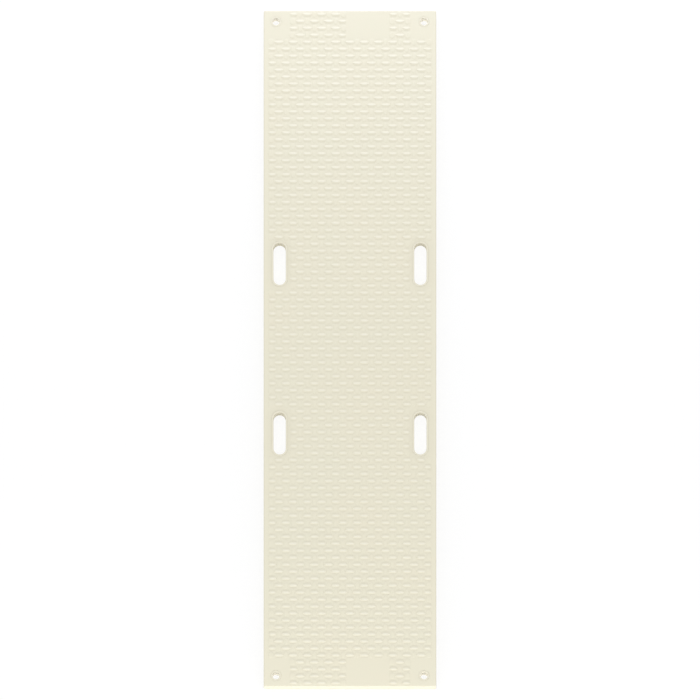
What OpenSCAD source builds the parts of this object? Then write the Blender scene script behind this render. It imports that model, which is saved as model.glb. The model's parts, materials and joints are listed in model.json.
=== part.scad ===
// Laminated springy plank with a moulded basket-weave tread, two pairs of hand slots and a bolt
// sleeve in each corner. Millimetres. X runs across the board, Y along it and Z up. The origin is
// the middle of the underside. "front" is the -Y end, and "left" is the -X side.

/* [Board] */
// Length of the board, end to end
board_length = 1829; // [1500:1:2500]
// Width of the board, side to side
board_width = 457; // [420:1:520]
// Thickness from the underside to the crests of the tread
board_thickness = 38; // [30:0.5:50]
// Radius of the four corners, seen from above
corner_radius = 4; // [2:0.5:8]
// Bevel along the upper edges of the shell
edge_bevel = 2.5; // [1:0.5:3]

/* [Tread] */
// Pitch of the square cells of the basket weave, one raised bar to a cell
tread_pitch = 18.85; // [16:0.05:22]
// Height of the raised bars above the smooth pads
tread_height = 1.2; // [0.6:0.1:2]
// Rows of cells left smooth at each end, for the corner holes and the blank name panel
end_pad_rows = 4; // [3:1:5]
// Columns of cells left smooth round each corner hole and hand slot
pad_columns = 3; // [3:1:4]
// First column of the blank name panel, counted from the left
panel_first_column = 11; // [5:1:12]
// Columns of cells in the blank name panel
panel_columns = 6; // [2:1:7]

/* [Hand slots] */
// Clear length of a hand slot
slot_length = 113; // [95:1:130]
// Clear width of a hand slot
slot_width = 32.5; // [26:0.5:36]
// Distance between the centres of the two slots on one side
slot_spacing = 459; // [300:1:700]
// Distance from the side of the board to a slot's centre line
slot_inset = 42.2; // [41:0.1:43]
// Wall of the liner in each slot
liner_wall = 2.5; // [1.5:0.1:2.5]
// Overhang of the liner's lip beyond its wall
liner_lip = 2.5; // [1.5:0.1:3]

/* [Corner holes] */
// Bore of the sleeve in each corner
sleeve_bore = 19; // [12:0.5:19]
// Wall of the sleeve
sleeve_wall = 2; // [1:0.5:2]
// Overhang of the sleeve's flange beyond its wall
sleeve_lip = 2.5; // [1.5:0.1:6]
// Distance from the side of the board to a corner hole's axis
hole_side_inset = 32.5; // [32:0.1:34]
// Distance from the end of the board to a corner hole's axis
hole_end_inset = 29.5; // [28:0.1:45]

/* [Layers] */
// Thickness of the moulded shell, top and sides
shell_wall = 3.5; // [3:0.1:5]
// Thickness of the skin on the underside
base_skin_thickness = 3; // [2:0.1:5]
// Thickness of each woven glass ply
ply_thickness = 1.2; // [0.6:0.1:2]
// Width of the lath along each side of the core
lath_width = 15; // [14:0.5:16]
// Width of the stringer that each row of slots is cut through
slot_stringer_width = 45; // [44:0.5:46]
// Number of stringers between the two slotted ones
centre_stringers = 8; // [8:1:8]

/* [Hidden] */
$fn = 96;

LEFT = -1;
RIGHT = 1;
FRONT = -1;
REAR = 1;
CREAM = [0.91, 0.885, 0.80];
TRIM_CREAM = [0.90, 0.875, 0.79];
GLASS_CLOTH = [0.80, 0.83, 0.72];
TIMBER = [0.79, 0.62, 0.40];
GELCOAT = [0.90, 0.88, 0.81];

glue_line = 0.1;      // gap between bonded faces
cut_through = 1;      // how far a cutting tool runs past the face it cuts
seat_depth = 0.8;     // depth of the seats for the liner lips and the sleeve flanges
flange_proud = 0.3;   // how far lips and flanges stand above the smooth pads
base_edge_bevel = 1.5;
lip_clearance = 0.2;  // around lips and flanges in their seats
bore_mouth_bevel = 0.8;

// Heights of the layers, from the underside up
lower_ply_z = base_skin_thickness + glue_line;
core_z = lower_ply_z + ply_thickness + glue_line;
pad_z = board_thickness - tread_height;
shell_plate_z = pad_z - shell_wall;
upper_ply_z = shell_plate_z - glue_line - ply_thickness;
core_height = upper_ply_z - glue_line - core_z;
seat_z = pad_z - seat_depth;
flange_top_z = pad_z + flange_proud;

// The space inside the shell, where the core is
inner_length = board_length - 2 * (shell_wall + glue_line);
inner_width = board_width - 2 * (shell_wall + glue_line);
centre_width = inner_width - 2 * (lath_width + slot_stringer_width + 2 * glue_line);
centre_pitch = (centre_width + glue_line) / centre_stringers;
lath_x = inner_width / 2 - lath_width / 2;
slot_stringer_x = inner_width / 2 - lath_width - glue_line - slot_stringer_width / 2;

slot_x = board_width / 2 - slot_inset;
slot_y = slot_spacing / 2;
hole_x = board_width / 2 - hole_side_inset;
hole_y = board_length / 2 - hole_end_inset;
sleeve_radius = sleeve_bore / 2 + sleeve_wall;
flange_radius = sleeve_radius + sleeve_lip;

// Whole cells of the tread, and the smooth pads among them
side_margin_min = 11;     // from the side of the board to the first whole cell
tread_columns = floor((board_width - 2 * side_margin_min) / tread_pitch);
tread_rows = floor(board_length / tread_pitch);
tread_end_margin = 3;      // from the end of the board to the first bar
slot_pad_rows = ceil(slot_length / tread_pitch) + 1;
slot_pad_row = round(slot_y / tread_pitch);
field_left = -tread_columns * tread_pitch / 2;
field_rear = tread_rows * tread_pitch / 2;

// ---- shared shapes ----

// A rectangle with round ends, centred, longer along Y
module stadium(length, width) {
    straight = length - width;
    square([width, straight], center = true);
    for (end = [FRONT, REAR])
        translate([0, end * straight / 2]) circle(d = width);
}

// A centred rectangle with round corners
module rounded_plan(width, length, radius) {
    square([width - 2 * radius, length], center = true);
    square([width, length - 2 * radius], center = true);
    for (side = [LEFT, RIGHT], end = [FRONT, REAR])
        translate([side * (width / 2 - radius), end * (length / 2 - radius)]) circle(r = radius);
}

// Cross-section of a slab whose upper corners are bevelled
module bevelled_section(width, height, bevel) {
    half = width / 2;
    polygon([
        [-half, 0], [half, 0], [half, height - bevel], [half - bevel, height],
        [bevel - half, height], [-half, height - bevel]
    ]);
}

// A slab with round corners in plan, and its upper edges bevelled on all four sides
module bevelled_slab(width, length, height, radius, bevel) {
    intersection() {
        linear_extrude(height) rounded_plan(width, length, radius);
        rotate([90, 0, 0]) translate([0, 0, -length / 2])
            linear_extrude(length) bevelled_section(width, height, bevel);
        rotate([90, 0, 90]) translate([0, 0, -width / 2])
            linear_extrude(width) bevelled_section(length, height, bevel);
    }
}

// Places its child at the middle of each hand slot
module at_slots(sides = [LEFT, RIGHT]) {
    for (side = sides, end = [FRONT, REAR])
        translate([side * slot_x, end * slot_y]) children();
}

// Places its child on the axis of each corner hole
module at_holes(sides = [LEFT, RIGHT]) {
    for (side = sides, end = [FRONT, REAR])
        translate([side * hole_x, end * hole_y]) children();
}

// Every opening that a layer needs for the liners and sleeves that pass through it
module openings_2d(sides = [LEFT, RIGHT]) {
    at_slots(sides) stadium(
        slot_length + 2 * (liner_wall + glue_line), slot_width + 2 * (liner_wall + glue_line)
    );
    at_holes(sides) circle(r = sleeve_radius + glue_line);
}

// ---- tread ----

// Cuts a block of cells, given by its first column and row from the rear left corner
module cell_block(column, row, columns, rows) {
    translate([field_left + column * tread_pitch, field_rear - (row + rows) * tread_pitch])
        square([columns * tread_pitch, rows * tread_pitch]);
}

// Outline of the area that holds raised bars, with the smooth pads left out
module tread_outline() {
    last_rows = tread_rows - end_pad_rows;
    difference() {
        square([tread_columns * tread_pitch, board_length - 2 * tread_end_margin], center = true);
        for (row = [0, last_rows]) {
            for (column = [0, tread_columns - pad_columns])
                cell_block(column, row, pad_columns, end_pad_rows);
            cell_block(panel_first_column, row, panel_columns, end_pad_rows);
        }
        for (end = [FRONT, REAR], column = [0, tread_columns - pad_columns])
            cell_block(
                column,
                (tread_rows - slot_pad_rows) / 2 - end * slot_pad_row,
                pad_columns,
                slot_pad_rows
            );
    }
}

// Moulded cap: top plate, skirt round all four sides, and the envelope of the raised bars
module tread_shell() {
    color(CREAM) difference() {
        union() {
            translate([0, 0, lower_ply_z])
                bevelled_slab(
                    board_width, board_length, pad_z - lower_ply_z, corner_radius, edge_bevel
                );
            translate([0, 0, shell_plate_z])
                linear_extrude(board_thickness - shell_plate_z) tread_outline();
        }
        translate([0, 0, lower_ply_z - cut_through])
            linear_extrude(shell_plate_z - lower_ply_z + cut_through)
                square([inner_width + 2 * glue_line, inner_length + 2 * glue_line], center = true);
        linear_extrude(board_thickness + cut_through) openings_2d();
        translate([0, 0, seat_z]) linear_extrude(board_thickness) {
            at_slots() stadium(
                slot_length + 2 * (liner_wall + liner_lip + lip_clearance),
                slot_width + 2 * (liner_wall + liner_lip + lip_clearance)
            );
            at_holes() circle(r = flange_radius + lip_clearance);
        }
    }
}

// ---- skins ----

module glass_ply(z) {
    color(GLASS_CLOTH) translate([0, 0, z]) linear_extrude(ply_thickness) difference() {
        square([inner_width, inner_length], center = true);
        openings_2d();
    }
}

module base_skin() {
    color(GELCOAT) difference() {
        translate([0, 0, base_skin_thickness]) mirror([0, 0, 1])
            bevelled_slab(
                board_width, board_length, base_skin_thickness, corner_radius, base_edge_bevel
            );
        translate([0, 0, -cut_through])
            linear_extrude(base_skin_thickness + 2 * cut_through) openings_2d();
    }
}

// ---- core ----

// A strip of the core, full length, centred on x
module core_strip(x, width) {
    translate([x - width / 2, -inner_length / 2, core_z]) cube([width, inner_length, core_height]);
}

module edge_lath(side) {
    color(TIMBER) core_strip(side * lath_x, lath_width);
}

module slot_stringer(side) {
    color(TIMBER) difference() {
        core_strip(side * slot_stringer_x, slot_stringer_width);
        linear_extrude(board_thickness) openings_2d([side]);
    }
}

// Counted from the left
module centre_stringer(number) {
    x = (number - (centre_stringers + 1) / 2) * centre_pitch;
    color(TIMBER) core_strip(x, centre_pitch - glue_line);
}

// ---- sleeves and liners ----

// Flanged tube that keeps a bolt from crushing the core
module corner_sleeve(side, end) {
    bore_radius = sleeve_bore / 2;
    color(TRIM_CREAM) translate([side * hole_x, end * hole_y]) rotate_extrude() polygon([
        [bore_radius, bore_mouth_bevel],
        [bore_radius + bore_mouth_bevel, 0],
        [sleeve_radius, 0],
        [sleeve_radius, seat_z],
        [flange_radius, seat_z],
        [flange_radius, flange_top_z],
        [bore_radius + bore_mouth_bevel, flange_top_z],
        [bore_radius, flange_top_z - bore_mouth_bevel]
    ]);
}

// Oval tube with a lip on top, which a hand grips
module slot_liner(side, end) {
    color(TRIM_CREAM) translate([side * slot_x, end * slot_y]) difference() {
        union() {
            linear_extrude(flange_top_z)
                stadium(slot_length + 2 * liner_wall, slot_width + 2 * liner_wall);
            translate([0, 0, seat_z]) linear_extrude(flange_top_z - seat_z) stadium(
                slot_length + 2 * (liner_wall + liner_lip),
                slot_width + 2 * (liner_wall + liner_lip)
            );
        }
        translate([0, 0, -cut_through])
            linear_extrude(board_thickness + 2 * cut_through) stadium(slot_length, slot_width);
    }
}

tread_shell();
glass_ply(upper_ply_z);  // upper_glass_ply
edge_lath(LEFT);  // left_edge_lath
edge_lath(RIGHT);  // right_edge_lath
slot_stringer(LEFT);  // left_slot_stringer
slot_stringer(RIGHT);  // right_slot_stringer
centre_stringer(1);  // centre_stringer_1
centre_stringer(2);  // centre_stringer_2
centre_stringer(3);  // centre_stringer_3
centre_stringer(4);  // centre_stringer_4
centre_stringer(5);  // centre_stringer_5
centre_stringer(6);  // centre_stringer_6
centre_stringer(7);  // centre_stringer_7
centre_stringer(8);  // centre_stringer_8
glass_ply(lower_ply_z);  // lower_glass_ply
base_skin();
corner_sleeve(LEFT, FRONT);  // sleeve_front_left
corner_sleeve(RIGHT, FRONT);  // sleeve_front_right
corner_sleeve(LEFT, REAR);  // sleeve_rear_left
corner_sleeve(RIGHT, REAR);  // sleeve_rear_right
slot_liner(LEFT, FRONT);  // slot_liner_front_left
slot_liner(RIGHT, FRONT);  // slot_liner_front_right
slot_liner(LEFT, REAR);  // slot_liner_rear_left
slot_liner(RIGHT, REAR);  // slot_liner_rear_right
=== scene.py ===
"""Looks for a springy plank with a moulded basket-weave tread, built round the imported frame.

Metres, in the frame's axes: X across the board, Y along it, Z up out of the walking surface.
"""

import json
import math
from collections import namedtuple

import bmesh
import bpy
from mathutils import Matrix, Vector


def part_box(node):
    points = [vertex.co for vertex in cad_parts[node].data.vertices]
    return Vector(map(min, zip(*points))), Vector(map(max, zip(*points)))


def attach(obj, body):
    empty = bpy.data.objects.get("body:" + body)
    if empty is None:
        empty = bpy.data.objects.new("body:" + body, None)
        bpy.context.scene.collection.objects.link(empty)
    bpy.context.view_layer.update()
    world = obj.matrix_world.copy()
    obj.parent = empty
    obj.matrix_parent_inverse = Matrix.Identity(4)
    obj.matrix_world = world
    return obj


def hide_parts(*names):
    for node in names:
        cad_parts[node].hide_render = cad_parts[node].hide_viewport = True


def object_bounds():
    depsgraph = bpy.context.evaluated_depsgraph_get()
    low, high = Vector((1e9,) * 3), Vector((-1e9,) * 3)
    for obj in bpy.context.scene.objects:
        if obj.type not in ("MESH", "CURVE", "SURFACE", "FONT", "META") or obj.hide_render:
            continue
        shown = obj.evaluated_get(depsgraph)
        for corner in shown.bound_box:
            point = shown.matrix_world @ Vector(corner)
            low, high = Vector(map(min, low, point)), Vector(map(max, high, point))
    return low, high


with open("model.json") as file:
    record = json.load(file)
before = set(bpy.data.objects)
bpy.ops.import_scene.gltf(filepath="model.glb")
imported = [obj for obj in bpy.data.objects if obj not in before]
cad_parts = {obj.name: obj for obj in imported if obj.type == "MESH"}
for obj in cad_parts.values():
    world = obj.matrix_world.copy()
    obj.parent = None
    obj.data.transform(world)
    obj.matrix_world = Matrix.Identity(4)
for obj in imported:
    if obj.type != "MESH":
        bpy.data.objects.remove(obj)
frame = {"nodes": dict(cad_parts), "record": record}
cad_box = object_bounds()

MM = 0.001

# ---- driving sizes of the shell, as the CAD has them ----
TREAD_PITCH = 18.85 * MM
TREAD_HEIGHT = 1.2 * MM
SIDE_MARGIN_MIN = 11 * MM
END_PAD_ROWS = 4
PAD_COLUMNS = 3
PANEL_FIRST_COLUMN = 11
PANEL_COLUMNS = 6
SHELL_WALL = 3.5 * MM
EDGE_RADIUS = 2.5 * MM
CORNER_RADIUS = 4 * MM
SEAT_DEPTH = 0.8 * MM
LIP_CLEARANCE = 0.2 * MM
GLUE_LINE = 0.1 * MM
LINER_WALL = 2.5 * MM
LINER_LIP = 2.5 * MM
SLEEVE_WALL = 2 * MM
SLEEVE_BORE_RADIUS = 9.5 * MM

# ---- finish of the edges, finer than in the CAD ----
SEAT_RIM_BEVEL = 0.25 * MM
SKIRT_FOOT_BEVEL = 0.5 * MM
LINER_MOUTH = 1.6 * MM
SLEEVE_MOUTH = 0.8 * MM
LIP_ROUND = 0.5 * MM
SHARP_ANGLE = math.radians(50)  # an edge with at least this angle between its faces isn't shaded smooth

# Steps in a rounded edge, in a corner of the board, in a slot's round end and in a circle
ROUND_STEPS = 4
CORNER_STEPS = 6
STADIUM_STEPS = 24
CIRCLE_STEPS = 64

# ---- colours, linear ----
SHELL_CREAM = (0.79, 0.755, 0.607, 1)
SHELL_CREAM_WARM = (0.80, 0.755, 0.602, 1)
SHELL_CREAM_GREEN = (0.78, 0.755, 0.602, 1)
# Dust colour; where the shell's grooves take it, it is painted shade
SHELL_DUST_AND_SHADE = (0.70, 0.66, 0.52, 1)
# Painted highlight along the crests of the bars
SHELL_CREST_HIGHLIGHT = (0.855, 0.825, 0.69, 1)
SHELL_SCUFF = (0.88, 0.86, 0.78, 1)
TRIM_CREAM = (0.79, 0.755, 0.612, 1)
TRIM_CREAM_WARM = (0.78, 0.74, 0.59, 1)
# Painted shade and grime on the walls inside the slots and holes
TRIM_SHADE_AND_GRIME = (0.58, 0.54, 0.42, 1)
GELCOAT_CREAM = (0.79, 0.76, 0.65, 1)
GELCOAT_CREAM_DEEP = (0.75, 0.715, 0.60, 1)
TIMBER_PALE = (0.62, 0.42, 0.22, 1)
TIMBER_DARK = (0.38, 0.20, 0.085, 1)
TIMBER_RED = (0.46, 0.23, 0.10, 1)
TIMBER_FIBRE = (0.30, 0.16, 0.07, 1)
RESIN_GREEN = (0.46, 0.52, 0.36, 1)
GLASS_WHITE = (0.72, 0.75, 0.64, 1)
FLOOR_WHITE = (0.92, 0.92, 0.92, 1)

# Grime round the hand slots: how far from a slot's centre line it starts to fade, and where it ends
GRIME_CORE = 24 * MM
GRIME_REACH = 40 * MM
CREST_START = 0.8  # share of the tread's height above which a bar has a painted highlight on its crest

# ---- stage: metres, watts and degrees ----
FLOOR_HALF_SIZE = 6.0
FLOOR_GAP = 0.5 * MM
FLOOR_ROUGHNESS = 0.9
BACKDROP_SHARE = 0.78  # of what the camera sees of the floor, the share that takes no shadow
# Brightness of that share beside the board, and through its slots and holes
BACKDROP_GLOW = 1.02
BACKDROP_GLOW_IN_SLOTS = 1.1
# Light from the floor onto the underside, and up the walls of the slots and of the bolt holes
BOUNCE_UNDER_BOARD = 0.5
BOUNCE_IN_SLOTS = 0.35
BOUNCE_IN_HOLES = 1.5
BOUNCE_BLEND = 1 * MM
# The strip lights, one beyond each end and aimed near it. STRIP_Y is from the middle of the board.
STRIP_LENGTH = 3.0
STRIP_WIDTH = 0.4
STRIP_Y = 2.1
STRIP_AIM_Y = 0.9
REAR_STRIP_Z = 0.6
REAR_STRIP_POWER = 15.0
REAR_STRIP_COLOUR = (0.95, 1.0, 1.25)
FRONT_STRIP_Z = 0.3
FRONT_STRIP_POWER = 13.6
FRONT_STRIP_COLOUR = (1, 1, 1)
SKY_WHITE = (1, 1, 1, 1)
SKY_STRENGTH = 0.937
BACKDROP_STRENGTH = 1.0  # the sky where the camera sees it directly
CAMERA_ELEVATION = 78.0
CAMERA_DISTANCE = 4.0
BOARD_SHARE_OF_FRAME = 0.9696

# One level of a raised bar: half its length before any reach into the next cells, half its width and the
# length of its tapered ends as shares of the pitch, then its height along its sides and at its two ends
# as shares of the tread's height.
BarLevel = namedtuple("BarLevel", "half_length half_width taper rise end_rise")
BAR_TIP = 0.3  # width of a bar's end as a share of its full width
BAR_REACH = 0.18  # how far a bar across the board reaches into the next cells, as a share of the pitch
BARS_ACROSS = (
    BarLevel(0.455, 0.28, 0.27, -0.2, 0.0),
    BarLevel(0.445, 0.165, 0.29, 0.60, 0.35),
    BarLevel(0.43, 0.095, 0.31, 0.90, 0.60),
    BarLevel(0.37, 0.03, 0.31, 1.0, 1.0),
)
BARS_ALONG = (
    BarLevel(0.47, 0.46, 0.18, 0.0, 0.0),
    BarLevel(0.44, 0.42, 0.18, 0.50, 0.35),
    BarLevel(0.38, 0.35, 0.16, 0.68, 0.55),
    BarLevel(0.24, 0.25, 0.10, 0.74, 0.74),
)
GROOVE_DEPTH = -BARS_ACROSS[0].rise * TREAD_HEIGHT

BOARD_LOW, BOARD_HIGH = cad_box
HALF_WIDTH = BOARD_HIGH.x
HALF_LENGTH = BOARD_HIGH.y
CREST_Z = BOARD_HIGH.z
PAD_Z = CREST_Z - TREAD_HEIGHT
PLATE_UNDER_Z = PAD_Z - SHELL_WALL
SKIRT_FOOT_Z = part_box("tread_shell")[0].z

SIDES = ("left", "right")
ENDS = ("front", "rear")
SLOT_OF_NODE = {part["node"]: part["material_slot"] for part in frame["record"]["subparts"]}

SlotPlace = namedtuple("SlotPlace", "x y straight radius top")
HolePlace = namedtuple("HolePlace", "x y flange_radius top")
Bump = namedtuple("Bump", "height strength distance")


# ---- mesh tools ----

class Surface:
    """A mesh under construction, in which corners at the same place are one vertex."""

    WELD = 1e-6

    def __init__(self):
        self.mesh = bmesh.new()
        self.made = {}

    def vertex(self, point):
        key = tuple(round(value / self.WELD) for value in point)
        if key not in self.made:
            self.made[key] = self.mesh.verts.new(point)
        return self.made[key]

    def face(self, points):
        self.mesh.faces.new([self.vertex(point) for point in points])

    def skin(self, loops):
        """Joins each closed loop to the next with quads. The loops are of equal length."""
        for lower, upper in zip(loops, loops[1:]):
            for index in range(len(lower)):
                after = (index + 1) % len(lower)
                self.face([lower[index], lower[after], upper[after], upper[index]])

    def fill(self, loops):
        """Fills a flat region whose first loop is its border and the others its holes."""
        edges = []
        for loop in loops:
            corners = [self.vertex(point) for point in loop]
            for start, stop in zip(corners, corners[1:] + corners[:1]):
                edge = self.mesh.edges.get((start, stop))
                edges.append(edge or self.mesh.edges.new((start, stop)))
        bmesh.ops.triangle_fill(self.mesh, edges=edges, use_beauty=True)

    def piece(self, name, node, look):
        """Ends the surface as an object that stands for a CAD node, whose mesh it hides, with the given
        material.
        """
        bmesh.ops.recalc_face_normals(self.mesh, faces=self.mesh.faces)
        for edge in self.mesh.edges:
            edge.smooth = edge.calc_face_angle(0) < SHARP_ANGLE
        for face in self.mesh.faces:
            face.smooth = True
        data = bpy.data.meshes.new(name)
        self.mesh.to_mesh(data)
        self.mesh.free()
        piece = bpy.data.objects.new(name, data)
        bpy.context.scene.collection.objects.link(piece)
        weighted = piece.modifiers.new("weighted_normals", "WEIGHTED_NORMAL")
        weighted.keep_sharp = True
        data.materials.append(look)
        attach(piece, "root")
        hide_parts(node)
        return piece


def arc(centre_x, centre_y, radius, start_degrees, end_degrees, steps, z):
    """Points along an arc at one height, with both its ends."""
    points = []
    for step in range(steps + 1):
        angle = math.radians(start_degrees + (end_degrees - start_degrees) * step / steps)
        points.append((centre_x + radius * math.cos(angle), centre_y + radius * math.sin(angle), z))
    return points


def circle(centre_x, centre_y, radius, z):
    return arc(centre_x, centre_y, radius, 0, 360, CIRCLE_STEPS, z)[:-1]


def stadium(centre_x, centre_y, straight, radius, z):
    """A closed loop with round ends. straight is the distance along Y between the ends' centres."""
    rear = arc(centre_x, centre_y + straight / 2, radius, 0, 180, STADIUM_STEPS, z)
    front = arc(centre_x, centre_y - straight / 2, radius, 180, 360, STADIUM_STEPS, z)
    return rear + front


def spindle(centre_x, centre_y, half_x, half_y, taper, side_z, end_z, along_x):
    """A bar's outline with two points to a corner, anticlockwise, starting in the +X +Y corner."""
    points = []
    for side_x, side_y in ((1, 1), (-1, 1), (-1, -1), (1, -1)):
        if along_x:
            pair = [(half_x, half_y * BAR_TIP, end_z), (half_x - taper, half_y, side_z)]
        else:
            pair = [(half_x, half_y - taper, side_z), (half_x * BAR_TIP, half_y, end_z)]
        if side_x != side_y:
            pair.reverse()
        points += [(centre_x + side_x * x, centre_y + side_y * y, z) for x, y, z in pair]
    return points


def quarter_round(radius, steps):
    """(distance in from the side, drop from the top) pairs down a rounded edge."""
    pairs = []
    for step in range(steps + 1):
        angle = math.pi / 2 * step / steps
        pairs.append((radius * (1 - math.sin(angle)), radius * (1 - math.cos(angle))))
    return pairs


# ---- the hand slots and the corner holes ----

def slot_place(end, side):
    """Where a hand slot is, and its clear size, from the CAD liner."""
    low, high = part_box(f"slot_liner_{end}_{side}")
    around = LINER_WALL + LINER_LIP
    radius = (high.x - low.x) / 2 - around
    straight = (high.y - low.y) - 2 * around - 2 * radius
    return SlotPlace((low.x + high.x) / 2, (low.y + high.y) / 2, straight, radius, high.z)


def hole_place(end, side):
    """Where a corner hole is, from the CAD sleeve."""
    low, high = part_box(f"sleeve_{end}_{side}")
    return HolePlace((low.x + high.x) / 2, (low.y + high.y) / 2, (high.x - low.x) / 2, high.z)


def slot_outline(place):
    """A function that draws a slot's outline at a distance from its centre line and a height."""
    def loop_at(radius, z):
        return stadium(place.x, place.y, place.straight, radius, z)

    return loop_at


def hole_outline(place):
    """The same for a corner hole, from its axis."""
    def loop_at(radius, z):
        return circle(place.x, place.y, radius, z)

    return loop_at


# ---- tread shell ----

class TreadGrid:
    """The square cells of the tread. Columns count from the left, and rows from the rear."""

    def __init__(self):
        self.columns = math.floor((2 * HALF_WIDTH - 2 * SIDE_MARGIN_MIN) / TREAD_PITCH)
        self.rows = math.floor(2 * HALF_LENGTH / TREAD_PITCH)
        self.left = -self.columns * TREAD_PITCH / 2
        self.rear = self.rows * TREAD_PITCH / 2
        self.end = HALF_LENGTH - EDGE_RADIUS
        slot_low, slot_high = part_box("slot_liner_rear_left")
        slot_length = slot_high.y - slot_low.y - 2 * (LINER_WALL + LINER_LIP)
        self.slot_pad_rows = math.ceil(slot_length / TREAD_PITCH) + 1
        self.slot_pad_row = round((slot_low.y + slot_high.y) / 2 / TREAD_PITCH)

    def line_x(self, column):
        return self.left + column * TREAD_PITCH

    def line_y(self, row):
        """The outermost lines stop where the board's rounded end begins."""
        return max(-self.end, min(self.end, self.rear - row * TREAD_PITCH))

    def side_blocks(self, rear_row, front_row, rows):
        """(first column, first row, columns, rows) of four smooth pads, by end and side."""
        last_column = self.columns - PAD_COLUMNS
        return {
            (end, side): (column, row, PAD_COLUMNS, rows)
            for end, row in (("rear", rear_row), ("front", front_row))
            for side, column in (("left", 0), ("right", last_column))
        }

    def corner_blocks(self):
        return self.side_blocks(0, self.rows - END_PAD_ROWS, END_PAD_ROWS)

    def slot_blocks(self):
        middle_row = (self.rows - self.slot_pad_rows) // 2
        rear_row = middle_row - self.slot_pad_row
        front_row = middle_row + self.slot_pad_row
        return self.side_blocks(rear_row, front_row, self.slot_pad_rows)

    def panel_blocks(self):
        """The blank name panel at each end."""
        return [
            (PANEL_FIRST_COLUMN, row, PANEL_COLUMNS, END_PAD_ROWS)
            for row in (0, self.rows - END_PAD_ROWS)
        ]

    def border(self, block):
        """Corners of the cells round a block, anticlockwise seen from above."""
        column, row, columns, rows = block
        right, front = column + columns, row + rows
        corners = [(index, front) for index in range(column, right)]
        corners += [(right, index) for index in range(front, row, -1)]
        corners += [(index, row) for index in range(right, column, -1)]
        corners += [(column, index) for index in range(row, front)]
        return [(self.line_x(x), self.line_y(y), PAD_Z) for x, y in corners]


def cells(blocks):
    """The (column, row) pairs that some blocks cover."""
    covered = set()
    for column, row, columns, rows in blocks:
        for x in range(column, column + columns):
            covered.update((x, y) for y in range(row, row + rows))
    return covered


def bar_loops(low_x, high_x, rear, front, bar_y, across):
    """One cell's bar as a stack of outlines, from its foot up to its crest."""
    loops = []
    for level in BARS_ACROSS if across else BARS_ALONG:
        end_gap = (0.5 - level.half_length) * TREAD_PITCH
        half_width = level.half_width * TREAD_PITCH
        if across:
            half_x = (high_x - low_x) / 2 - end_gap
            half_y = half_width
        else:
            half_x = (high_x - low_x - TREAD_PITCH) / 2 + half_width
            half_y = (rear - front) / 2 - end_gap
        loops.append(spindle(
            (low_x + high_x) / 2, bar_y, half_x, half_y, level.taper * TREAD_PITCH,
            PAD_Z + level.rise * TREAD_HEIGHT, PAD_Z + level.end_rise * TREAD_HEIGHT, across,
        ))
    return loops


def join_foot(surface, foot, corners, side_middles):
    """Joins a bar's foot to its cell's outline. side_middles has each side's moved middle, or None."""
    for side, corner in enumerate(corners):
        next_corner = corners[(side + 1) % len(corners)]
        middle = side_middles[side]
        near, far = foot[2 * side], foot[2 * side + 1]
        after = foot[(2 * side + 2) % len(foot)]
        surface.face([corner, far, near])
        if middle:
            surface.face([corner, middle, far])
            surface.face([middle, after, far])
            surface.face([middle, next_corner, after])
        else:
            surface.face([corner, next_corner, after, far])


def add_bar(surface, grid, column, row, woven):
    """One cell of the weave. Bars across the board reach sideways into the cells of the bars along it."""
    left, right = grid.line_x(column), grid.line_x(column + 1)
    rear, front = grid.line_y(row), grid.line_y(row + 1)
    across = (column + row) % 2 == 1
    reach = BAR_REACH * TREAD_PITCH if across else -BAR_REACH * TREAD_PITCH
    low_x = left - reach if (column - 1, row) in woven else left
    high_x = right + reach if (column + 1, row) in woven else right
    middle_y = grid.rear - (row + 0.5) * TREAD_PITCH
    bar_y = middle_y if across else (rear + front) / 2
    loops = bar_loops(low_x, high_x, rear, front, bar_y, across)
    surface.skin(loops)
    surface.face(loops[-1])
    corners = [(right, rear, PAD_Z), (left, rear, PAD_Z), (left, front, PAD_Z), (right, front, PAD_Z)]
    left_middle = (low_x, middle_y, PAD_Z) if low_x != left else None
    right_middle = (high_x, middle_y, PAD_Z) if high_x != right else None
    join_foot(surface, loops[0], corners, [None, left_middle, None, right_middle])


def outline(grid, inset, z):
    """The board's outline moved inwards, with a point where each line of the tread meets it."""
    half_x, half_y = HALF_WIDTH - inset, HALF_LENGTH - inset
    radius = CORNER_RADIUS - inset
    corner_x, corner_y = HALF_WIDTH - CORNER_RADIUS, HALF_LENGTH - CORNER_RADIUS
    lines_x = [grid.line_x(column) for column in range(grid.columns + 1)]
    lines_y = [grid.line_y(row) for row in range(1, grid.rows)]
    points = [(half_x, y, z) for y in reversed(lines_y)]
    points += arc(corner_x, corner_y, radius, 0, 90, CORNER_STEPS, z)
    points += [(x, half_y, z) for x in reversed(lines_x)]
    points += arc(-corner_x, corner_y, radius, 90, 180, CORNER_STEPS, z)
    points += [(-half_x, y, z) for y in lines_y]
    points += arc(-corner_x, -corner_y, radius, 180, 270, CORNER_STEPS, z)
    points += [(x, -half_y, z) for x in lines_x]
    points += arc(corner_x, -corner_y, radius, 270, 360, CORNER_STEPS, z)
    return points


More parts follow.
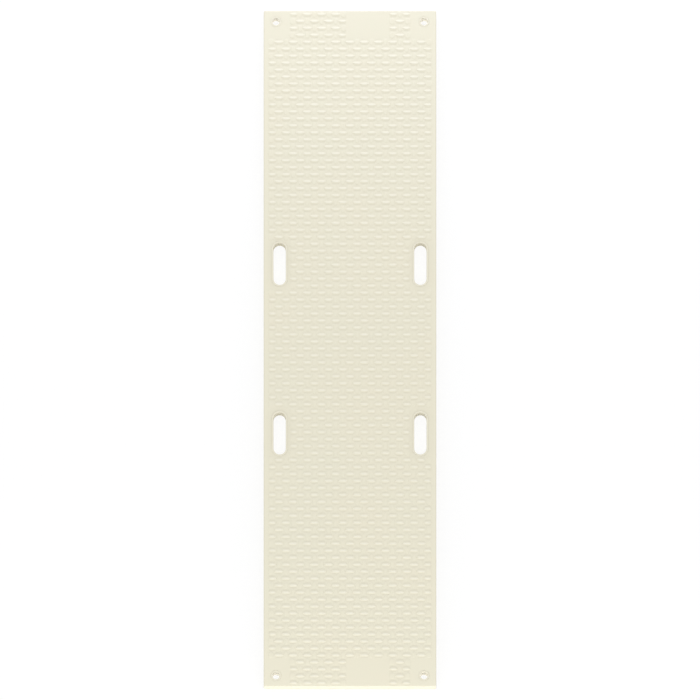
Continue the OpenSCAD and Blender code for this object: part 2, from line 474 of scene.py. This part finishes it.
def add_margins(surface, grid):
    """The flat strip between the outer columns of the tread and the rounded edges of the board."""
    edge_x = HALF_WIDTH - EDGE_RADIUS
    corner_x, corner_y = HALF_WIDTH - CORNER_RADIUS, HALF_LENGTH - CORNER_RADIUS
    field_x = grid.line_x(grid.columns)
    inner_y = grid.line_y(1)
    for side in (-1, 1):
        for row in range(1, grid.rows - 1):
            rear, front = grid.line_y(row), grid.line_y(row + 1)
            surface.face([
                (side * field_x, front, PAD_Z), (side * edge_x, front, PAD_Z),
                (side * edge_x, rear, PAD_Z), (side * field_x, rear, PAD_Z),
            ])
        for end in (-1, 1):
            bend = arc(corner_x, corner_y, CORNER_RADIUS - EDGE_RADIUS, 0, 90, CORNER_STEPS, PAD_Z)
            points = [(field_x, inner_y, PAD_Z), (edge_x, inner_y, PAD_Z)] + bend
            points.append((field_x, grid.end, PAD_Z))
            surface.face([(side * x, end * y, z) for x, y, z in points])


def seat_loops(loop_at, seat_radius, opening_radius):
    """Loops from the smooth pad down through a seat and its opening."""
    floor_z = PAD_Z - SEAT_DEPTH
    return [
        loop_at(seat_radius + SEAT_RIM_BEVEL, PAD_Z),
        loop_at(seat_radius, PAD_Z - SEAT_RIM_BEVEL),
        loop_at(seat_radius, floor_z),
        loop_at(opening_radius, floor_z),
        loop_at(opening_radius, PLATE_UNDER_Z),
    ]


def slot_seat(end, side):
    place = slot_place(end, side)
    opening_radius = place.radius + LINER_WALL + GLUE_LINE
    seat_radius = place.radius + LINER_WALL + LINER_LIP + LIP_CLEARANCE
    return seat_loops(slot_outline(place), seat_radius, opening_radius)


def corner_seat(end, side):
    place = hole_place(end, side)
    opening_radius = SLEEVE_BORE_RADIUS + SLEEVE_WALL + GLUE_LINE
    return seat_loops(hole_outline(place), place.flange_radius + LIP_CLEARANCE, opening_radius)


def skirt_loops(grid):
    """Loops from the edge of the walking surface down the outside of the skirt and up its inside."""
    loops = []
    for inset, drop in quarter_round(EDGE_RADIUS, ROUND_STEPS):
        loops.append(outline(grid, inset, PAD_Z - drop))
    loops.append(outline(grid, 0, SKIRT_FOOT_Z + SKIRT_FOOT_BEVEL))
    loops.append(outline(grid, SKIRT_FOOT_BEVEL, SKIRT_FOOT_Z))
    loops.append(outline(grid, SHELL_WALL, SKIRT_FOOT_Z))
    loops.append(outline(grid, SHELL_WALL, PLATE_UNDER_Z))
    return loops


def make_tread_shell():
    grid = TreadGrid()
    surface = Surface()
    seats = [(block, slot_seat(*place)) for place, block in grid.slot_blocks().items()]
    seats += [(block, corner_seat(*place)) for place, block in grid.corner_blocks().items()]
    panels = cells(grid.panel_blocks())
    smooth = panels | cells(block for block, _ in seats)
    woven = cells([(0, 0, grid.columns, grid.rows)]) - smooth
    for column, row in sorted(woven):
        add_bar(surface, grid, column, row, woven)
    for column, row in sorted(panels):
        surface.face(grid.border((column, row, 1, 1)))
    add_margins(surface, grid)
    for block, seat in seats:
        surface.fill([grid.border(block), seat[0]])
        surface.skin(seat)
    skirt = skirt_loops(grid)
    surface.skin(skirt)
    surface.fill([skirt[-1]] + [seat[-1] for _, seat in seats])
    return surface.piece("tread_moulding", "tread_shell", shell_plastic())


# ---- liners and sleeves ----

def flanged_tube(loop_at, bore, wall, lip, mouth, top):
    """A closed tube with a rounded mouth and a rounded lip."""
    lip_outer = bore + wall + lip
    seat_z = PAD_Z - SEAT_DEPTH
    lip_round = quarter_round(LIP_ROUND, ROUND_STEPS)
    mouth_round = quarter_round(mouth, ROUND_STEPS)
    profile = [(bore + aside, drop) for aside, drop in lip_round]
    profile += [(bore + aside, top - drop) for aside, drop in reversed(mouth_round)]
    profile += [(lip_outer - aside, top - drop) for aside, drop in lip_round]
    profile += [(lip_outer, seat_z), (bore + wall, seat_z), (bore + wall, 0)]
    loops = [loop_at(radius, z) for radius, z in profile]
    surface = Surface()
    surface.skin(loops + loops[:1])
    return surface


def make_slot_liner(end, side, look):
    place = slot_place(end, side)
    tube = flanged_tube(slot_outline(place), place.radius, LINER_WALL, LINER_LIP, LINER_MOUTH, place.top)
    tube.piece(f"hand_slot_liner_{end}_{side}", f"slot_liner_{end}_{side}", look)


def make_corner_sleeve(end, side, look):
    place = hole_place(end, side)
    bore = SLEEVE_BORE_RADIUS
    lip = place.flange_radius - SLEEVE_WALL - bore
    tube = flanged_tube(hole_outline(place), bore, SLEEVE_WALL, lip, SLEEVE_MOUTH, place.top)
    tube.piece(f"bolt_sleeve_{end}_{side}", f"sleeve_{end}_{side}", look)


# ---- materials ----

class Look:
    """A node material under construction, whose surface is one Principled shader."""

    # A Mix node has sockets for every kind of value, and only their places tell them apart
    NUMBER_A, NUMBER_B, NUMBER_RESULT = 2, 3, 0
    COLOUR_A, COLOUR_B, COLOUR_RESULT = 6, 7, 2

    def __init__(self, name):
        self.material = bpy.data.materials.new(name)
        self.material.use_nodes = True
        self.nodes = self.material.node_tree.nodes
        self.links = self.material.node_tree.links
        self.surface = self.nodes["Principled BSDF"]
        self.place = self.nodes.new("ShaderNodeTexCoord").outputs["Object"]

    def put(self, value, socket):
        """Gives a socket a constant, or links another node's output to it."""
        if isinstance(value, bpy.types.NodeSocket):
            self.links.new(value, socket)
        else:
            socket.default_value = value

    def node(self, kind, inputs, **settings):
        made = self.nodes.new("ShaderNode" + kind)
        for name, value in settings.items():
            setattr(made, name, value)
        for name, value in inputs.items():
            self.put(value, made.inputs[name])
        return made

    def maths(self, operation, first, second=0.0):
        return self.node("Math", {0: first, 1: second}, operation=operation).outputs[0]

    def scaled(self, value, most):
        """A share from 0 to 1, scaled to reach no more than a limit."""
        return self.maths("MULTIPLY", value, most)

    def coordinates(self):
        """The place as three numbers: across the board, along it and up."""
        return self.node("SeparateXYZ", {"Vector": self.place}).outputs

    def stretched(self, scale, place=None):
        """Coordinates stretched by a factor along each axis."""
        return self.node("Mapping", {"Vector": place or self.place, "Scale": scale}).outputs["Vector"]

    def noise(self, scale, detail=3.0, roughness=0.5, place=None):
        inputs = {"Vector": place or self.place, "Scale": scale, "Detail": detail, "Roughness": roughness}
        return self.node("TexNoise", inputs).outputs["Fac"]

    def streaks(self, stretch, detail, roughness, place=None):
        """Noise with its own fineness along each axis."""
        fine = self.stretched(stretch, place)
        return self.noise(scale=1.0, detail=detail, roughness=roughness, place=fine)

    def between(self, value, low, high, to_low=0.0, to_high=1.0):
        """Maps low..high onto to_low..to_high, and holds the ends."""
        inputs = {"Value": value, "From Min": low, "From Max": high, "To Min": to_low, "To Max": to_high}
        return self.node("MapRange", inputs, clamp=True).outputs["Result"]

    def spread(self, value, to_low, to_high):
        """Maps a share from 0 to 1 onto to_low..to_high."""
        return self.between(value, 0.0, 1.0, to_low, to_high)

    def blend(self, share, first, second):
        """Mixes two colours or two places."""
        inputs = {"Factor": share, self.COLOUR_A: first, self.COLOUR_B: second}
        return self.node("Mix", inputs, data_type="RGBA").outputs[self.COLOUR_RESULT]

    def choose(self, share, first, second):
        """Mixes two numbers."""
        inputs = {"Factor": share, self.NUMBER_A: first, self.NUMBER_B: second}
        return self.node("Mix", inputs, data_type="FLOAT").outputs[self.NUMBER_RESULT]

    def threads(self, axis, scale):
        """Even waves along one axis, as in woven cloth."""
        inputs = {"Vector": self.place, "Scale": scale}
        return self.node("TexWave", inputs, bands_direction=axis).outputs["Fac"]

    def bumps(self, *layers):
        """Stacks bumps and gives the last one to the surface."""
        normal = None
        for layer in layers:
            inputs = {"Height": layer.height, "Strength": layer.strength, "Distance": layer.distance}
            if normal:
                inputs["Normal"] = normal
            normal = self.node("Bump", inputs).outputs["Normal"]
        self.put(normal, self.surface.inputs["Normal"])

    def finish(self, colour, roughness, **extra):
        self.put(colour, self.surface.inputs["Base Color"])
        self.put(roughness, self.surface.inputs["Roughness"])
        for name, value in extra.items():
            self.put(value, self.surface.inputs[name.replace("_", " ")])
        return self.material


def opening_distance(look, place, straight):
    """How far a point is, in plan, from the nearest slot's centre line or the nearest hole's axis."""
    across, along, _ = look.coordinates()
    aside = look.maths("SUBTRACT", look.maths("ABSOLUTE", across), place.x)
    beyond = look.maths("ABSOLUTE", look.maths("SUBTRACT", look.maths("ABSOLUTE", along), place.y))
    beyond_straight = look.maths("MAXIMUM", look.maths("SUBTRACT", beyond, straight / 2), 0.0)
    squares = [look.maths("MULTIPLY", side, side) for side in (aside, beyond_straight)]
    return look.maths("SQRT", look.maths("ADD", *squares))


def slot_distance(look):
    slot = slot_place("rear", "right")
    return opening_distance(look, slot, slot.straight)


def hole_distance(look):
    return opening_distance(look, hole_place("rear", "right"), 0.0)


def shell_plastic():
    """Cream moulded plastic: mottled resin, a painted highlight along the crests, painted shade in the
    grooves, and grime round the hand slots.
    """
    look = Look("cream_moulded_shell")
    _, _, height = look.coordinates()
    crest = look.between(height, PAD_Z + CREST_START * TREAD_HEIGHT, CREST_Z)
    # Painted shade: the grooves beside the bars across grow darker towards their bottom
    groove_shade = look.between(height, PAD_Z - GROOVE_DEPTH, PAD_Z, to_low=1.0, to_high=0.0)
    broad = look.between(look.noise(scale=4.0, detail=4.0), low=0.35, high=0.65)
    cloudy = look.between(look.noise(scale=28.0, detail=5.0, roughness=0.6), low=0.3, high=0.7)
    scratches = look.streaks((160.0, 40.0, 160.0), detail=6.0, roughness=0.65)
    scuffs = look.between(scratches, low=0.55, high=0.75)
    resin = look.blend(broad, SHELL_CREAM, SHELL_CREAM_WARM)
    resin = look.blend(look.scaled(cloudy, most=0.5), resin, SHELL_CREAM_GREEN)
    patches = look.noise(scale=60.0, detail=4.0)
    patchy = look.between(patches, low=0.35, high=0.7, to_low=0.45, to_high=0.9)
    handled = look.between(slot_distance(look), GRIME_CORE, GRIME_REACH, to_low=0.45, to_high=0.0)
    # Painted shade in the grooves, with grime round the hand slots, both in patches
    grime_and_shade = look.maths("MAXIMUM", groove_shade, handled)
    grimed_and_shaded = look.blend(look.maths("MULTIPLY", grime_and_shade, patchy), resin, SHELL_DUST_AND_SHADE)
    # Painted highlight: the crest of each bar is lighter
    pale = look.blend(crest, grimed_and_shaded, SHELL_CREST_HIGHLIGHT)
    worn = look.maths("MULTIPLY", crest, scuffs)
    colour = look.blend(look.scaled(worn, most=0.5), pale, SHELL_SCUFF)
    moulded = look.spread(cloudy, to_low=0.36, to_high=0.44)
    roughness = look.maths("ADD", moulded, look.scaled(worn, most=0.12))
    look.bumps(
        Bump(look.noise(scale=70.0), strength=0.25, distance=0.4 * MM),
        Bump(look.noise(scale=900.0, detail=2.0), strength=0.3, distance=0.05 * MM),
    )
    return look.finish(colour, roughness)


def trim_plastic():
    """The liners and sleeves: the same resin, a shade deeper, with painted shade and grime on the walls
    inside their openings.
    """
    look = Look("cream_moulded_trim")
    cloudy = look.between(look.noise(scale=40.0, detail=4.0), low=0.3, high=0.7)
    resin = look.blend(cloudy, TRIM_CREAM, TRIM_CREAM_WARM)
    streaks = look.streaks((260.0, 260.0, 30.0), detail=5.0, roughness=0.6)
    scratches = look.between(streaks, low=0.5, high=0.8)
    scratched = look.blend(look.scaled(scratches, most=0.25), resin, SHELL_SCUFF)
    slot_radius = slot_place("rear", "right").radius
    hole_radius = SLEEVE_BORE_RADIUS
    # Painted shade and grime on the walls inside the openings, fading out over their rounded edges
    in_slot = look.between(slot_distance(look), slot_radius, slot_radius + LINER_MOUTH, 1.0, 0.0)
    in_hole = look.between(hole_distance(look), hole_radius, hole_radius + SLEEVE_MOUTH, 1.0, 0.0)
    mouth_shade_and_grime = look.maths("MAXIMUM", in_slot, in_hole)
    colour = look.blend(look.scaled(mouth_shade_and_grime, most=0.35), scratched, TRIM_SHADE_AND_GRIME)
    look.bumps(Bump(look.noise(scale=500.0, detail=2.0), strength=0.2, distance=0.05 * MM))
    return look.finish(colour, look.spread(scratches, to_low=0.3, to_high=0.46))


def base_gelcoat():
    """Smooth gelcoat with the cloth behind it just showing through."""
    look = Look("cream_gelcoat")
    cloudy = look.between(look.noise(scale=12.0, detail=5.0, roughness=0.6), low=0.3, high=0.7)
    clean = look.blend(cloudy, GELCOAT_CREAM, GELCOAT_CREAM_DEEP)
    cloth = look.maths("ADD", look.threads("X", scale=60.0), look.threads("Y", scale=60.0))
    streaks = look.streaks((25.0, 200.0, 25.0), detail=6.0, roughness=0.6)
    scuffs = look.between(streaks, low=0.58, high=0.75)
    colour = look.blend(look.scaled(scuffs, most=0.35), clean, SHELL_DUST_AND_SHADE)
    look.bumps(
        Bump(cloth, strength=0.12, distance=0.05 * MM),
        Bump(look.noise(scale=18.0, detail=2.0), strength=0.2, distance=0.5 * MM),
    )
    return look.finish(colour, look.spread(scuffs, to_low=0.22, to_high=0.45))


def core_timber():
    """Planed softwood with its grain along the board. Each strip has its own tone and figure."""
    look = Look("core_softwood")
    chance = look.node("ObjectInfo", {}).outputs["Random"]
    shift = look.node("CombineXYZ", {"X": chance, "Y": chance, "Z": chance}).outputs["Vector"]
    moved = look.node("VectorMath", {0: look.place, 1: shift}, operation="ADD").outputs["Vector"]
    lengthways = look.stretched((1.0, 0.06, 1.0), moved)
    wander = look.node("TexNoise", {"Vector": lengthways, "Scale": 9.0, "Detail": 2.0}).outputs["Color"]
    bent = look.blend(0.12, lengthways, wander)
    ring_inputs = {"Vector": bent, "Scale": 75.0, "Distortion": 2.0, "Detail": 2.0, "Detail Scale": 1.2}
    rings = look.node("TexWave", ring_inputs, bands_direction="X", wave_profile="SAW").outputs["Fac"]
    fibres = look.streaks((1400.0, 22.0, 1400.0), detail=5.0, roughness=0.7, place=moved)
    figured = look.blend(look.between(rings, low=0.25, high=1.0), TIMBER_PALE, TIMBER_DARK)
    toned = look.blend(look.scaled(chance, most=0.35), figured, TIMBER_RED)
    fibre_share = look.between(fibres, low=0.45, high=0.8, to_low=0.0, to_high=0.35)
    colour = look.blend(fibre_share, toned, TIMBER_FIBRE)
    roughness = look.between(fibres, low=0.3, high=0.7, to_low=0.55, to_high=0.75)
    look.bumps(
        Bump(rings, strength=0.15, distance=0.1 * MM),
        Bump(fibres, strength=0.35, distance=0.08 * MM),
    )
    return look.finish(colour, roughness)


def glass_laminate():
    """Resin-filled woven glass cloth."""
    look = Look("glass_cloth_laminate")
    over = look.node("TexChecker", {"Vector": look.place, "Scale": 255.0}).outputs["Fac"]
    cloth = look.choose(over, look.threads("X", scale=80.0), look.threads("Y", scale=80.0))
    dry = look.between(look.noise(scale=14.0, detail=4.0), low=0.45, high=0.7)
    wetted = look.blend(look.between(cloth, low=0.1, high=0.9), RESIN_GREEN, GLASS_WHITE)
    colour = look.blend(look.scaled(dry, most=0.4), wetted, GLASS_WHITE)
    look.bumps(Bump(cloth, strength=0.4, distance=0.15 * MM))
    return look.finish(colour, look.spread(dry, to_low=0.3, to_high=0.5))


# ---- stage, lights and camera ----

def under_board(look):
    """1 under the board and 0 beside it."""
    across, along, _ = look.coordinates()
    in_width = look.maths("LESS_THAN", look.maths("ABSOLUTE", across), HALF_WIDTH)
    in_length = look.maths("LESS_THAN", look.maths("ABSOLUTE", along), HALF_LENGTH)
    return look.maths("MULTIPLY", in_width, in_length)


def floor_bounce(look, under, seen):
    """How strongly the floor lights the board from below. The camera itself doesn't see this light."""
    slot_radius = slot_place("rear", "right").radius
    hole_radius = SLEEVE_BORE_RADIUS
    by_slots = look.between(
        slot_distance(look), slot_radius - BOUNCE_BLEND, slot_radius, BOUNCE_IN_SLOTS, BOUNCE_UNDER_BOARD
    )
    by_openings = look.between(
        hole_distance(look), hole_radius - BOUNCE_BLEND, hole_radius, BOUNCE_IN_HOLES, by_slots
    )
    unseen = look.maths("SUBTRACT", 1.0, seen)
    return look.maths("MULTIPLY", look.maths("MULTIPLY", by_openings, under), unseen)


def make_floor():
    """A flat white floor. The camera sees only a hint of its shadows, and sees through it from below."""
    data = bpy.data.meshes.new("floor")
    half = FLOOR_HALF_SIZE
    outline_of_floor = ((-half, -half), (half, -half), (half, half), (-half, half))
    corners = [(x, y, -FLOOR_GAP) for x, y in outline_of_floor]
    data.from_pydata(corners, [], [(0, 1, 2, 3)])
    floor = bpy.data.objects.new("floor", data)
    bpy.context.scene.collection.objects.link(floor)
    look = Look("pale_floor")
    under = under_board(look)
    seen = look.node("LightPath", {}).outputs["Is Camera Ray"]
    bounce = floor_bounce(look, under, seen)
    look.finish(FLOOR_WHITE, FLOOR_ROUGHNESS, Emission_Color=FLOOR_WHITE, Emission_Strength=bounce)
    glow = look.spread(under, BACKDROP_GLOW, BACKDROP_GLOW_IN_SLOTS)
    backdrop = look.node("Emission", {"Strength": glow}).outputs["Emission"]
    share = look.maths("MULTIPLY", seen, BACKDROP_SHARE)
    shown = look.node("MixShader", {0: share, 1: look.surface.outputs["BSDF"], 2: backdrop})
    back = look.node("NewGeometry", {}).outputs["Backfacing"]
    clear = look.node("BsdfTransparent", {}).outputs["BSDF"]
    faced = look.node("MixShader", {0: back, 1: shown.outputs["Shader"], 2: clear})
    look.put(faced.outputs["Shader"], look.nodes["Material Output"].inputs["Surface"])
    data.materials.append(look.material)


def add_strip(end, side, height, power, colour):
    """A low strip light beyond one end of the board, which rakes the tread. side is 1 or -1 along Y."""
    data = bpy.data.lights.new(f"{end}_strip_light", "AREA")
    data.shape = "RECTANGLE"
    data.size = STRIP_LENGTH
    data.size_y = STRIP_WIDTH
    data.energy = power
    data.color = colour
    lamp = bpy.data.objects.new(f"{end}_strip_light", data)
    place = Vector((0, side * STRIP_Y, height))
    aim = Vector((0, side * STRIP_AIM_Y, 0))
    lamp.location = place
    lamp.rotation_mode = "QUATERNION"
    lamp.rotation_quaternion = (aim - place).to_track_quat("-Z", "Y")
    bpy.context.scene.collection.objects.link(lamp)


def add_lights():
    """An even white sky, and a low strip light beyond each end."""
    add_strip("rear", 1, REAR_STRIP_Z, REAR_STRIP_POWER, REAR_STRIP_COLOUR)
    add_strip("front", -1, FRONT_STRIP_Z, FRONT_STRIP_POWER, FRONT_STRIP_COLOUR)
    world = bpy.data.worlds.new("studio")
    world.use_nodes = True
    nodes = world.node_tree.nodes
    seen = nodes.new("ShaderNodeLightPath").outputs["Is Camera Ray"]
    strength = nodes.new("ShaderNodeMapRange")
    strength.inputs["To Min"].default_value = SKY_STRENGTH
    strength.inputs["To Max"].default_value = BACKDROP_STRENGTH
    background = nodes["Background"]
    background.inputs["Color"].default_value = SKY_WHITE
    world.node_tree.links.new(seen, strength.inputs["Value"])
    world.node_tree.links.new(strength.outputs["Result"], background.inputs["Strength"])
    bpy.context.scene.world = world


def add_camera():
    """Looks almost straight down, from the front, without perspective."""
    data = bpy.data.cameras.new("camera")
    data.type = "ORTHO"
    elevation = math.radians(CAMERA_ELEVATION)
    thickness = BOARD_HIGH.z - BOARD_LOW.z
    seen_length = 2 * HALF_LENGTH * math.sin(elevation) + thickness * math.cos(elevation)
    data.ortho_scale = seen_length / BOARD_SHARE_OF_FRAME
    camera = bpy.data.objects.new("camera", data)
    back = Vector((0, -math.cos(elevation), math.sin(elevation)))
    camera.location = (BOARD_LOW + BOARD_HIGH) / 2 + CAMERA_DISTANCE * back
    camera.rotation_mode = "QUATERNION"
    camera.rotation_quaternion = (-back).to_track_quat("-Z", "Y")
    bpy.context.scene.collection.objects.link(camera)
    bpy.context.scene.camera = camera
    bpy.context.scene.view_settings.view_transform = "Standard"


# ---- assembly ----

def dress_cad_nodes():
    """Gives the nodes that stay as the CAD made them their finishes."""
    looks = {
        "core_timber": core_timber(),
        "glass_laminate": glass_laminate(),
        "base_gelcoat": base_gelcoat(),
    }
    for name, piece in frame["nodes"].items():
        slot = SLOT_OF_NODE[name]
        if slot in looks:
            piece.data.materials.clear()
            piece.data.materials.append(looks[slot])


make_tread_shell()
trim = trim_plastic()
for end in ENDS:
    for side in SIDES:
        make_slot_liner(end, side, trim)
        make_corner_sleeve(end, side, trim)
dress_cad_nodes()
make_floor()
add_lights()
add_camera()
